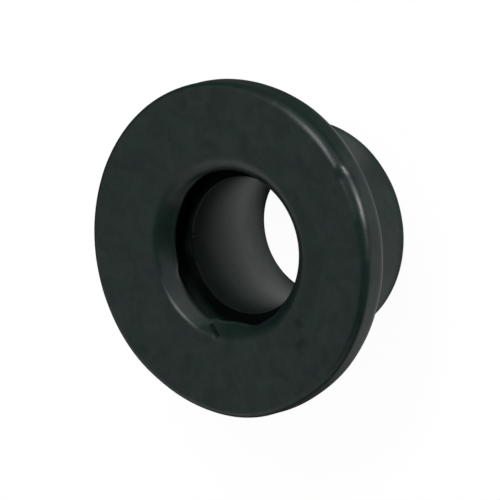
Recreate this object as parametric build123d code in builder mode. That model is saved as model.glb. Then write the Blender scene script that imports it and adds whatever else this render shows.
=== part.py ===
# Flanged rubber bushing, moulded in one piece.
# It stands on the end of its barrel: the origin is the centre of that end,
# and +Z runs along the bore towards the flat face of the flange.

import os
from math import cos, radians, sin, tan

from build123d import *

# Outer form, in millimetres
flange_diameter = 28.0
flange_thickness = 3.1
barrel_diameter = 18.0
overall_length = 12.5

# Passage: a conical mouth that narrows to the bore
bore_diameter = 11.0
mouth_diameter = 15.2
mouth_half_angle = 38.0

# Groove cut square to the cone, from the bore's edge up to the lip
groove_width = 1.3
groove_depth = 2.0

# Rounded edges left by the mould
rim_front_rounding = 0.5
rim_back_rounding = 1.0
mouth_rounding = 1.0
barrel_end_rounding = 0.4

# Heights above the end of the barrel
flange_back = overall_length - flange_thickness
mouth_depth = (mouth_diameter - bore_diameter) / 2 / tan(radians(mouth_half_angle))
bore_top = overall_length - mouth_depth

# Middle of the groove where it opens on the cone
groove_radius = bore_diameter / 2 + groove_width / 2 * sin(radians(mouth_half_angle))
groove_height = bore_top + groove_width / 2 * cos(radians(mouth_half_angle))

# Two lengths closer than this are the same length
same_length = 1e-6


def ring_edge(part, height, diameter):
    """The circular edge of the part at a height and a diameter."""
    level = part.edges().filter_by(GeomType.CIRCLE).filter_by_position(Axis.Z, height, height)
    return level.filter_by(lambda edge: abs(edge.radius - diameter / 2) < same_length)


with BuildPart() as bushing:
    # Half section beside the axis, turned once round it
    with BuildSketch(Plane.XZ):
        with BuildLine():
            Polyline(
                (bore_diameter / 2, 0),
                (barrel_diameter / 2, 0),
                (barrel_diameter / 2, flange_back),
                (flange_diameter / 2, flange_back),
                (flange_diameter / 2, overall_length),
                (mouth_diameter / 2, overall_length),
                (bore_diameter / 2, bore_top),
                close=True,
            )
        make_face()
    revolve(axis=Axis.Z)

    # Soft edges: both edges of the rim, the mouth and the end of the barrel
    fillet(ring_edge(bushing, overall_length, flange_diameter), rim_front_rounding)
    fillet(ring_edge(bushing, flange_back, flange_diameter), rim_back_rounding)
    fillet(ring_edge(bushing, overall_length, mouth_diameter), mouth_rounding)
    fillet(ring_edge(bushing, 0, barrel_diameter), barrel_end_rounding)

    # Undercut groove: it leans with the cone and leaves a lip above it
    with BuildSketch(Plane.XZ):
        with Locations((groove_radius, groove_height)):
            Rectangle(2 * groove_depth, groove_width, rotation=-mouth_half_angle)
    revolve(axis=Axis.Z, mode=Mode.SUBTRACT)

bushing.part.label = "bushing"
os.makedirs("parts", exist_ok=True)
export_step(bushing.part, "parts/bushing.step")
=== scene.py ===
import math

import bmesh
import bpy
from mathutils import Matrix, Vector, noise


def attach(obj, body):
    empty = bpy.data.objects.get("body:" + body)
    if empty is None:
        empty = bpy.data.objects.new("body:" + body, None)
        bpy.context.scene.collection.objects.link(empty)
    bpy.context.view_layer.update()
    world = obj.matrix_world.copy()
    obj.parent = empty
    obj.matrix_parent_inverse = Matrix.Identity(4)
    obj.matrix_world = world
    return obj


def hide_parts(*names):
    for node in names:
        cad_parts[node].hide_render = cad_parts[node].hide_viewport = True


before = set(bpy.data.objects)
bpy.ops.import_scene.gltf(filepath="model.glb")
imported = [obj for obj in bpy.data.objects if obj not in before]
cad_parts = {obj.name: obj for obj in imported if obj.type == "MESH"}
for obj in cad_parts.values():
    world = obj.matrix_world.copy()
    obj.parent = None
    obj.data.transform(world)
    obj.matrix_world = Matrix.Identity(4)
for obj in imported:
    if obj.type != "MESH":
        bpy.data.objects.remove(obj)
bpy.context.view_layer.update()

# The bushing: one piece of black rubber, pressed into a heated two-part mould and pulled out soft.
# It stands on the end of its barrel, with the flat face of the flange on top. The face rolls over
# into a conical mouth, and a groove behind the mouth's lip leads to the bore.

# Sizes in millimetres; a depth is counted down from the face
mm_per_metre = 1000
flange_radius = 14.0
flange_thickness = 3.1
barrel_radius = 9.0
overall_length = 12.5
bore_radius = 5.5
bore_edge_depth = 2.69
bore_flare = 0.24
bore_flare_end = 4.1
bore_flare_rounding = 17.0
root_rounding = 0.4
barrel_end_rounding = 0.5
bore_end_rounding = 0.05
bore_edge_rounding = 0.03

# The groove is cut deeper here than in the solid, where it is 2.0 mm deep, so that it looks black
# from the front. Its bottom is wider than its opening by the swell.
groove_depth = 3.0
groove_lean = math.radians(31)
groove_swell = 1.35
groove_steps = 22

# Near the rim the face turns down towards the sunken parts of its edge
face_edge_inset = 1.8
face_edge_rounding = 1.5

# A thin bead of flash runs along the lip on one side; its foot and crest are measured from the lip
flash_height = 0.08
flash_bearing = 118
flash_reach = 28
flash_foot_distance = 0.45
flash_crest_distance = 0.14
flash_rounding = 0.2

# The front edge of the bore is ragged, with a wave every few degrees, and has a small tab
ragged_height = 0.06
ragged_degrees = 6
ragged_seed = 3
tab_height = 0.24
tab_bearing = 82
tab_reach = 12

# The mouth was trimmed unevenly, so its edge changes round the bore. Each row is a bearing in
# degrees from +X towards +Y, the radius where face and cone would meet, the rounding between
# them, and the radius, depth and rounding of the lip.
mouth_rows = [
    (-180, 7.60, 2.20, 6.25, 1.60, 0.30),
    (-165, 7.60, 1.90, 6.20, 1.62, 0.20),
    (-148, 7.50, 1.50, 6.00, 1.60, 0.15),
    (-130, 7.45, 1.20, 6.04, 1.58, 0.12),
    (-50, 7.35, 1.30, 6.05, 1.57, 0.15),
    (-28, 7.15, 1.80, 6.33, 1.06, 0.25),
    (0, 7.15, 1.80, 6.30, 1.09, 0.25),
    (30, 7.40, 1.80, 6.30, 1.41, 0.15),
    (48, 7.55, 1.20, 6.30, 1.60, 0.12),
    (88, 7.60, 0.80, 6.34, 1.62, 0.12),
    (98, 7.64, 0.70, 6.50, 1.42, 0.10),
    (120, 7.70, 0.70, 6.50, 1.40, 0.10),
    (137, 7.70, 0.70, 6.62, 1.24, 0.10),
    (144, 7.60, 0.90, 6.35, 1.60, 0.12),
    (160, 7.60, 1.60, 6.12, 1.90, 0.12),
    (180, 7.60, 2.20, 6.25, 1.60, 0.30),
]

# The rim was pulled unevenly from the mould and has a kink in its edge. Each row is a bearing,
# how far the edge of the face sinks, the front rounding, the back rounding and the rim's thickness.
rim_rows = [
    (-180, 0.00, 0.55, 1.00, 3.10),
    (-150, 0.00, 0.60, 1.50, 3.10),
    (-126, 0.02, 0.70, 1.40, 3.15),
    (-108, 0.05, 0.80, 1.30, 3.30),
    (-96, 0.10, 1.15, 1.30, 3.45),
    (-76, 0.15, 1.35, 1.30, 3.45),
    (-71, 0.00, 1.00, 1.30, 3.45),
    (-50, 0.00, 1.00, 0.90, 3.15),
    (-15, 0.00, 0.60, 1.20, 3.10),
    (180, 0.00, 0.55, 1.00, 3.10),
]

# Where the flange's outline runs flatter than a circle: bearing, reach in degrees and how far it
# is in. The first two are one place, which lies across 180 degrees.
flats = [(-168, 20, 0.15), (192, 20, 0.15), (-150, 25, 0.03), (140, 30, 0.11), (-20, 50, 0.09)]


def sizes_at(rows, bearing):
    """The sizes in a table at a bearing, eased between the rows on either side."""
    for low, high in zip(rows, rows[1:]):
        if low[0] <= bearing <= high[0]:
            share = (bearing - low[0]) / (high[0] - low[0])
            share = share * share * (3 - 2 * share)
            return [a + (b - a) * share for a, b in zip(low[1:], high[1:])]


def hump(value, middle, reach):
    """1 at the middle, falling smoothly to 0 at the reach on either side."""
    away = min(abs(value - middle) / reach, 1)
    return (1 - away * away) ** 2


def softened(before, corner, after, rounding, steps):
    """Points of an arc that rounds the corner between its two neighbours."""
    corner = Vector(corner)
    back, ahead = (Vector(before) - corner).normalized(), (Vector(after) - corner).normalized()
    half = back.angle(ahead) / 2
    centre = corner + (back + ahead).normalized() * rounding / math.sin(half)
    arm = corner + back * rounding / math.tan(half) - centre
    turns = [(math.pi - 2 * half) * i / steps for i in range(steps + 1)]
    return [centre + arm * math.cos(turn) - back * rounding * math.sin(turn) for turn in turns]


def straight(start, end, steps):
    """Points between two points, without the ends."""
    return [start.lerp(end, i / steps) for i in range(1, steps)]


def section_at(bearing):
    """The closed line of the section, as radius and depth, from the bore's lower end outwards."""
    meet, rounding, lip_radius, lip_depth, lip_rounding = sizes_at(mouth_rows, bearing)
    sink, front_rounding, back_rounding, rim_thickness = sizes_at(rim_rows, bearing)
    bore_end = (bore_radius, overall_length)
    barrel_end = (barrel_radius, overall_length)
    root = (barrel_radius, flange_thickness)
    edge = flange_radius - sum(inset * hump(bearing, at, reach) for at, reach, inset in flats)
    rim_back = (edge, rim_thickness)
    rim_front = (edge, sink)
    face_edge = (flange_radius - face_edge_inset, 0)
    mouth = (meet, 0)
    lip = Vector((lip_radius, lip_depth))

    # The flash stands proud of the cone just above the lip
    along = (lip - Vector(mouth)).normalized()
    proud = Vector((along.y, -along.x))
    standing = flash_height * hump(bearing, flash_bearing, flash_reach)
    flash_foot = lip - along * flash_foot_distance
    flash = lip - along * flash_crest_distance + proud * standing

    # The bore opens a little towards its ragged front edge
    wave = noise.noise(Vector((bearing / ragged_degrees, 0, ragged_seed)))
    ragged = ragged_height * wave - tab_height * hump(bearing, tab_bearing, tab_reach)
    bore_edge = (bore_radius + bore_flare, bore_edge_depth + ragged)
    bore_waist = (bore_radius, bore_flare_end)

    # The groove leans down into the rubber and has a round bottom
    across = (Vector(bore_edge) - lip) / 2
    inward = Vector((math.cos(groove_lean), math.sin(groove_lean)))
    bottom = lip + across + inward * (groove_depth - across.length)
    turns = [math.pi * i / groove_steps for i in range(groove_steps + 1)]
    groove = [
        bottom - across * groove_swell * math.cos(turn) + inward * across.length * math.sin(turn)
        for turn in turns
    ]

    # Each corner with its neighbours, its rounding and the steps round it
    arcs = [
        softened(bore_waist, bore_end, barrel_end, bore_end_rounding, 4),
        softened(bore_end, barrel_end, root, barrel_end_rounding, 9),
        softened(barrel_end, root, rim_back, root_rounding, 6),
        softened(root, rim_back, rim_front, back_rounding, 12),
        softened(rim_back, rim_front, face_edge, front_rounding, 14),
        softened(rim_front, face_edge, mouth, face_edge_rounding, 4),
        softened(face_edge, mouth, flash_foot, rounding, 14),
        softened(mouth, flash_foot, flash, flash_rounding, 3),
        softened(flash_foot, flash, groove[0], lip_rounding, 8),
        groove,
        softened(groove[-1], bore_edge, bore_waist, bore_edge_rounding, 5),
        softened(bore_edge, bore_waist, bore_end, bore_flare_rounding, 8),
    ]
    # Steps along the straight line that follows each arc
    spans = [6, 12, 8, 4, 3, 28, 8, 3, 4, 4, 4, 20]
    line = []
    for arc, following, steps in zip(arcs, arcs[1:] + arcs[:1], spans):
        line += arc + straight(arc[-1], following[0], steps)
    return line


# Marks: two pits in the face, the scratch between them and the crease across the mouth. Each is
# dented and painted darker and duller the deeper it is, as painted shade in the dent. Each row
# is the bearing and radius where it starts, the same where it ends, its reach and its depth.
marks = [
    (-144.6, 8.90, -144.6, 8.95, 0.55, 0.04),
    (-149.5, 10.20, -152.5, 10.20, 0.55, 0.035),
    (-144.6, 8.90, -149.5, 10.20, 0.35, 0.015),
    (142.8, 7.00, 152.1, 7.45, 0.26, 0.13),
]
fully_shaded_pit = 0.06
shade_spread = 1.3


def on_face(bearing, radius):
    """The place on the face at a bearing and a radius."""
    turn = math.radians(bearing)
    return Vector((radius * math.cos(turn), radius * math.sin(turn)))


def marked(bearing, radius):
    """How deep the marks are at a place on the face, and how much they dull it and darken it with
    painted shade.
    """
    place = on_face(bearing, radius)
    depth, dulled_and_shaded = 0, 0
    for start_bearing, start_radius, end_bearing, end_radius, reach, pit in marks:
        start, end = on_face(start_bearing, start_radius), on_face(end_bearing, end_radius)
        share = (place - start).dot(end - start) / (end - start).length_squared
        away = (place - start.lerp(end, min(max(share, 0), 1))).length
        depth = max(depth, pit * hump(away, 0, reach))
        # Painted shade in the dent, darker the deeper the mark
        dulled_and_shaded = max(dulled_and_shaded, min(pit / fully_shaded_pit, 1) * hump(away, 0, reach * shade_spread))
    return depth, dulled_and_shaded


# Where a point lies on the section: on the face and mouth, or in the groove and bore, or outside
face_depth = 1.4
face_inner_radius = 6.4
passage_radius = 8.8
passage_depth = 1.9
outside_depth = 2.4

# The worn ring on the face: where it is, how far it reaches, how deep and how dull it is
worn_radius, worn_radius_reach = 8.9, 1.3
worn_bearing, worn_bearing_reach = -120, 45
worn_depth = 0.08
worn_dulling = 0.3

# The core pin left the bore a little dull. The groove and the front of the bore are duller still
# and painted darker, as painted shade deep in the mouth, plain black at the bore's front edge.
bore_dulling = 0.35
front_shade = 0.50
front_shade_end = 9.0
front_shade_length = 6.0
bore_edge_shade_reach = 0.5

# The hidden edges behind the rim and at the barrel's end are painted darker and duller, as
# painted shade under the flange and at the barrel's foot on the floor
underside_shade = 0.75
back_shade_depth, back_shade_reach = 3.2, 0.8
back_shade_rim_reach = 1.5
foot_shade_reach = 1.0

# The whole skin is a little uneven: how far it is in and down, and the size of the swellings
skin_in, skin_in_mm = 0.015, 3.5
skin_down, skin_down_mm = 0.02, 2.6
skin_down_seed = Vector((9, 4, 2))


def as_moulded(bearing, radius, depth):
    """Moves a point of the section as the real rubber is uneven, and says how dull it is there and
    how much painted shade darkens it.
    """
    turn = math.radians(bearing)
    place = Vector((radius * math.cos(turn), radius * math.sin(turn), depth))
    dulled_and_shaded = 0
    if depth < face_depth and radius > face_inner_radius:
        # The marks carry painted shade; the worn ring is wear, duller and a touch darker
        pit, dulled_and_shaded = marked(bearing, radius)
        worn = hump(radius, worn_radius, worn_radius_reach)
        worn = worn * hump(bearing, worn_bearing, worn_bearing_reach)
        depth += pit + worn_depth * worn
        dulled_and_shaded = max(dulled_and_shaded, worn_dulling * worn)
    elif radius < passage_radius and depth > passage_depth:
        # Painted shade: the groove and the front of the bore are darkened, most at the bore's front
        # edge
        front = min(max((front_shade_end - depth) / front_shade_length, 0), 1)
        dulled_and_shaded = bore_dulling + front_shade * front
        dulled_and_shaded = max(dulled_and_shaded, hump(depth, bore_edge_depth, bore_edge_shade_reach))
    elif depth > outside_depth:
        # Painted shade behind the flange's rim and at the barrel's foot
        back_edge = hump(depth, back_shade_depth, back_shade_reach)
        back_edge = back_edge * hump(radius, flange_radius, back_shade_rim_reach)
        dulled_and_shaded = underside_shade * max(back_edge, hump(depth, overall_length, foot_shade_reach))
    inset = skin_in * (1 - noise.noise(place / skin_in_mm))
    sink = skin_down * (1 + noise.noise(place / skin_down_mm + skin_down_seed))
    return radius - inset, min(depth + sink, overall_length), dulled_and_shaded


ring_steps = 450
form = bmesh.new()
rings = []
dull_and_shade_amounts = []
for i in range(ring_steps):
    bearing = -180 + 360 * i / ring_steps
    turn = math.radians(bearing)
    ring = []
    for point in section_at(bearing):
        radius, depth, dulled_and_shaded = as_moulded(bearing, *point)
        dull_and_shade_amounts.append(dulled_and_shaded)
        spot = (radius * math.cos(turn), radius * math.sin(turn), overall_length - depth)
        ring.append(form.verts.new([size / mm_per_metre for size in spot]))
    rings.append(ring)
for ring, following in zip(rings, rings[1:] + rings[:1]):
    for a, b, c, d in zip(ring, ring[1:] + ring[:1], following[1:] + following[:1], following):
        form.faces.new((a, b, c, d)).smooth = True
bmesh.ops.recalc_face_normals(form, faces=form.faces)
bushing_mesh = bpy.data.meshes.new("rubber_bushing")
form.to_mesh(bushing_mesh)
form.free()
# This share also darkens the colour with painted shade, in the groove, the front of the bore,
# behind the rim, at the barrel's foot and in the marks
bushing_mesh.attributes.new("dulled_and_shaded", "FLOAT", "POINT").data.foreach_set("value", dull_and_shade_amounts)
bushing = bpy.data.objects.new("rubber_bushing", bushing_mesh)
bpy.context.collection.objects.link(bushing)


def linear(hex_colour):
    """An sRGB hex colour as linear red, green, blue and alpha."""
    parts = [int(hex_colour[i:i + 2], 16) / 255 for i in (1, 3, 5)]
    return [p / 12.92 if p <= 0.04045 else ((p + 0.055) / 1.055) ** 2.4 for p in parts] + [1]


def add_node(tree, kind, settings=None, inputs=None):
    """A node of a kind with its settings, its sockets set to a value or linked to an output."""
    made = tree.nodes.new(kind)
    for name, value in (settings or {}).items():
        setattr(made, name, value)
    for name, value in (inputs or {}).items():
        socket = made.inputs[name]
        if isinstance(value, bpy.types.NodeSocket):
            tree.links.new(value, socket)
        else:
            socket.default_value = value
    return made


# Ethylene rubber filled with carbon black, moulded: nearly all of what the eye sees is a dull,
# wide reflection, with a faint grey-green cloud where wax has come to the surface. Sizes of the
# patterns are in millimetres.
rubber = bpy.data.materials.new("moulded_black_rubber")
rubber.use_nodes = True
tree = rubber.node_tree
tree.nodes.clear()
where = add_node(tree, "ShaderNodeTexCoord").outputs["Object"]
cloud_mm = 2.6
cloud = add_node(tree, "ShaderNodeTexNoise", inputs={
    "Vector": where, "Scale": mm_per_metre / cloud_mm, "Detail": 5.0, "Roughness": 0.62,
})
black = add_node(tree, "ShaderNodeValToRGB", inputs={"Fac": cloud.outputs["Fac"]})
black.color_ramp.elements[0].position = 0.36
black.color_ramp.elements[0].color = linear("#172725")
black.color_ramp.elements[1].position = 0.64
black.color_ramp.elements[1].color = linear("#172d25")
dulled_and_shaded = add_node(tree, "ShaderNodeAttribute", {"attribute_name": "dulled_and_shaded"}).outputs["Fac"]
# Where the painted shade is strongest, in the groove, at the front of the bore, behind the rim, at
# the barrel's foot and in the deeper marks, the colour is painted plain black without the cloud.
# The Mix node's sockets go by number, because its names repeat: 0 is the share, 6 and 7 are the
# two colours, and output 2 the result.
painted_shade_share = add_node(tree, "ShaderNodeMath", {"operation": "POWER"}, {0: dulled_and_shaded, 1: 3.0})
painted_shade_colour = add_node(tree, "ShaderNodeMix", {"data_type": "RGBA"}, {
    0: painted_shade_share.outputs[0], 6: black.outputs["Color"], 7: linear("#0b1312"),
})
bloom_mm = 1.7
bloom_low, bloom_high = 0.32, 0.68
bloom = add_node(tree, "ShaderNodeTexNoise", inputs={
    "Vector": where, "Scale": mm_per_metre / bloom_mm,
    "Detail": 6.0, "Roughness": 0.7, "Distortion": 0.6,
})
clouded = add_node(tree, "ShaderNodeMapRange", inputs={
    "Value": bloom.outputs["Fac"], "From Min": bloom_low, "From Max": bloom_high,
    "To Min": 0.30, "To Max": 0.38,
})
roughness = add_node(tree, "ShaderNodeMapRange", inputs={
    "Value": dulled_and_shaded, "To Min": clouded.outputs["Result"], "To Max": 0.72,
})
sheen = add_node(tree, "ShaderNodeMapRange", inputs={
    "Value": bloom.outputs["Fac"], "From Min": bloom_low, "From Max": bloom_high,
    "To Min": 0.38, "To Max": 0.62,
})
specular = add_node(tree, "ShaderNodeMapRange", inputs={
    "Value": dulled_and_shaded, "To Min": sheen.outputs["Result"], "To Max": 0.10,
})
grain_mm = 0.35
grain_height_mm = 0.02
grain = add_node(tree, "ShaderNodeTexNoise", inputs={
    "Vector": where, "Scale": mm_per_metre / grain_mm, "Detail": 3.0, "Roughness": 0.55,
})
relief = add_node(tree, "ShaderNodeBump", inputs={
    "Height": grain.outputs["Fac"], "Strength": 0.35,
    "Distance": grain_height_mm / mm_per_metre,
})
shader = add_node(tree, "ShaderNodeBsdfPrincipled", inputs={
    "Base Color": painted_shade_colour.outputs[2],
    "Roughness": roughness.outputs["Result"],
    "Specular IOR Level": specular.outputs["Result"],
    "IOR": 1.5,
    "Normal": relief.outputs["Normal"],
})
add_node(tree, "ShaderNodeOutputMaterial", inputs={"Surface": shader.outputs["BSDF"]})
bushing_mesh.materials.append(rubber)

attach(bushing, "root")
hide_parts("bushing")

# Floor: a sheet of matt white paper, laid flat. The eye sees it as plain white, with a faint
# shadow under the bushing. It lies a hair below the bushing's end, so that the two never show
# through each other. Sizes are in metres.
floor_reach = 3.0
floor_level = -0.00002
floor_corners = [(-1, -1), (1, -1), (1, 1), (-1, 1)]
floor_mesh = bpy.data.meshes.new("floor")
floor_mesh.from_pydata(
    [(x * floor_reach, y * floor_reach, floor_level) for x, y in floor_corners],
    [], [(0, 1, 2, 3)],
)
floor = bpy.data.objects.new("floor", floor_mesh)
bpy.context.collection.objects.link(floor)
paper = bpy.data.materials.new("matt_white_paper")
paper.use_nodes = True
tree = paper.node_tree
tree.nodes.clear()
ray = add_node(tree, "ShaderNodeLightPath")
where = add_node(tree, "ShaderNodeTexCoord").outputs["Object"]
# How bright the sheet glows: to the camera, to matt surfaces, and to the rubber's reflections. Only
# reflections see the painted pools of light, patches where the sheet glows brighter though no lamp
# lights them, which paint the bright reflections in the bore and on the flange's back edge: middle,
# where each starts to fade, where it ends, brightness.
seen_white = 1.07
light_thrown_back = 0.30
reflected_white = 0.05
own_light_share = 0.9
painted_light_pools = [
    ((-0.011, -0.025, 0), 0.014, 0.030, 0.50),
    ((-0.0004, 0.0022, 0), 0.0008, 0.0044, 1.90),
    ((0.0100, -0.0095, 0), 0.003, 0.006, 0.50),
]
painted_glow = add_node(tree, "ShaderNodeValue").outputs[0]
painted_glow.default_value = reflected_white
for centre, full, end, brightness in painted_light_pools:
    away = add_node(tree, "ShaderNodeVectorMath", {"operation": "DISTANCE"}, {0: where, 1: centre})
    painted_pool = add_node(tree, "ShaderNodeMapRange", {"interpolation_type": "SMOOTHSTEP"}, {
        "Value": away.outputs["Value"], "From Min": full, "From Max": end,
        "To Min": brightness, "To Max": 0.0,
    })
    painted_glow = add_node(tree, "ShaderNodeMath", {"operation": "ADD"}, {0: painted_glow, 1: painted_pool.outputs[0]})
    painted_glow = painted_glow.outputs[0]
glossy = add_node(tree, "ShaderNodeMath", {"operation": "MULTIPLY"}, {
    0: ray.outputs["Is Glossy Ray"], 1: painted_glow,
})
bounced = add_node(tree, "ShaderNodeMath", {"operation": "MULTIPLY"}, {
    0: ray.outputs["Is Diffuse Ray"], 1: light_thrown_back,
})
clear = add_node(tree, "ShaderNodeMath", {"operation": "MAXIMUM"}, {
    0: ray.outputs["Is Camera Ray"], 1: ray.outputs["Is Transmission Ray"],
})
clear = add_node(tree, "ShaderNodeMath", {"operation": "MULTIPLY"}, {
    0: clear.outputs[0], 1: seen_white,
})
shown = add_node(tree, "ShaderNodeMath", {"operation": "MAXIMUM"}, {
    0: clear.outputs[0], 1: glossy.outputs[0],
})
shown = add_node(tree, "ShaderNodeMath", {"operation": "MAXIMUM"}, {
    0: shown.outputs[0], 1: bounced.outputs[0],
})
white = add_node(tree, "ShaderNodeEmission", inputs={
    "Color": (1, 1, 1, 1), "Strength": shown.outputs[0],
})
sheet = add_node(tree, "ShaderNodeBsdfDiffuse", inputs={"Color": linear("#e8e8e8")})
shade = add_node(tree, "ShaderNodeMixShader", inputs={
    0: own_light_share, 1: sheet.outputs[0], 2: white.outputs[0],
})
add_node(tree, "ShaderNodeOutputMaterial", inputs={"Surface": shade.outputs[0]})
floor_mesh.materials.append(paper)

# Light: three wide soft panels, overhead, at the back and at one side, and two lamps, a tall one
# and a small low one, that draw the highlights on the rim and the mouth, in a dim room. Each row
# is a name, bearing, height angle, distance, width and height in metres, and brightness.
lamps = [
    ("overhead_panel", 80, 54, 0.60, 1.30, 0.85, 0.24),
    ("back_panel", 145, 22, 0.60, 1.45, 0.46, 0.36),
    ("side_panel", -40, 20, 0.50, 0.56, 0.36, 0.38),
    ("tall_lamp", -31, 50, 0.50, 0.16, 0.26, 5.5),
    ("low_lamp", -83, 4, 0.30, 0.045, 0.065, 28.0),
]
lit_place = Vector((0, 0, 0.010))
watts_for_area = 4
for name, bearing, rise, distance, width, height, brightness in lamps:
    lamp = bpy.data.lights.new(name, "AREA")
    lamp.shape = "RECTANGLE"
    lamp.size, lamp.size_y = width, height
    lamp.energy = watts_for_area * width * height * brightness
    turn, tilt = math.radians(bearing), math.radians(rise)
    towards = Vector((
        math.cos(turn) * math.cos(tilt), math.sin(turn) * math.cos(tilt), math.sin(tilt),
    ))
    stand = bpy.data.objects.new(name, lamp)
    stand.location = lit_place + towards * distance
    stand.rotation_euler = towards.to_track_quat("Z", "Y").to_euler()
    stand.visible_camera = False
    bpy.context.collection.objects.link(stand)

# The room: dim, so that it hardly lights the rubber, and white to the camera past the floor
room_level = 0.035
room = bpy.data.worlds.new("dim_room")
bpy.context.scene.world = room
room.use_nodes = True
tree = room.node_tree
tree.nodes.clear()
ray = add_node(tree, "ShaderNodeLightPath")
level = add_node(tree, "ShaderNodeMapRange", inputs={
    "Value": ray.outputs["Is Camera Ray"], "To Min": room_level, "To Max": 1.0,
})
sky = add_node(tree, "ShaderNodeBackground", inputs={
    "Color": (1, 1, 1, 1), "Strength": level.outputs["Result"],
})
add_node(tree, "ShaderNodeOutputWorld", inputs={"Surface": sky.outputs[0]})

# Camera: far off with a long lens, above the face and rolled, so that the bushing seems to lie on
# its side. The picture is 500 pixels wide, and the flange's radius is 171.1 of them.
camera_rise = math.radians(52.1)
camera_roll = math.radians(-104.53)
lens_mm = 1000.0
sensor_mm = 36.0
half_picture_pixels = 250
flange_radius_pixels = 171.1
aim_right_pixels = 22.5
aim_up_pixels = 0.3
pixel = flange_radius / mm_per_metre / flange_radius_pixels
level_right = Vector((1, 0, 0))
level_up = Vector((0, math.sin(camera_rise), math.cos(camera_rise)))
towards_camera = Vector((0, -math.cos(camera_rise), math.sin(camera_rise)))
right = level_right * math.cos(camera_roll) + level_up * math.sin(camera_roll)
up = level_up * math.cos(camera_roll) - level_right * math.sin(camera_roll)
face_centre = Vector((0, 0, overall_length / mm_per_metre))
aim = face_centre + right * aim_right_pixels * pixel + up * aim_up_pixels * pixel
distance = half_picture_pixels * pixel / (sensor_mm / 2 / lens_mm)
lens = bpy.data.cameras.new("camera")
lens.lens = lens_mm
lens.sensor_width = sensor_mm
lens.clip_end = 10.0
camera = bpy.data.objects.new("camera", lens)
turned = Matrix((right, up, towards_camera)).transposed().to_4x4()
turned.translation = aim + towards_camera * distance
camera.matrix_world = turned
bpy.context.collection.objects.link(camera)
bpy.context.scene.camera = camera
bpy.context.scene.view_settings.view_transform = "Standard"
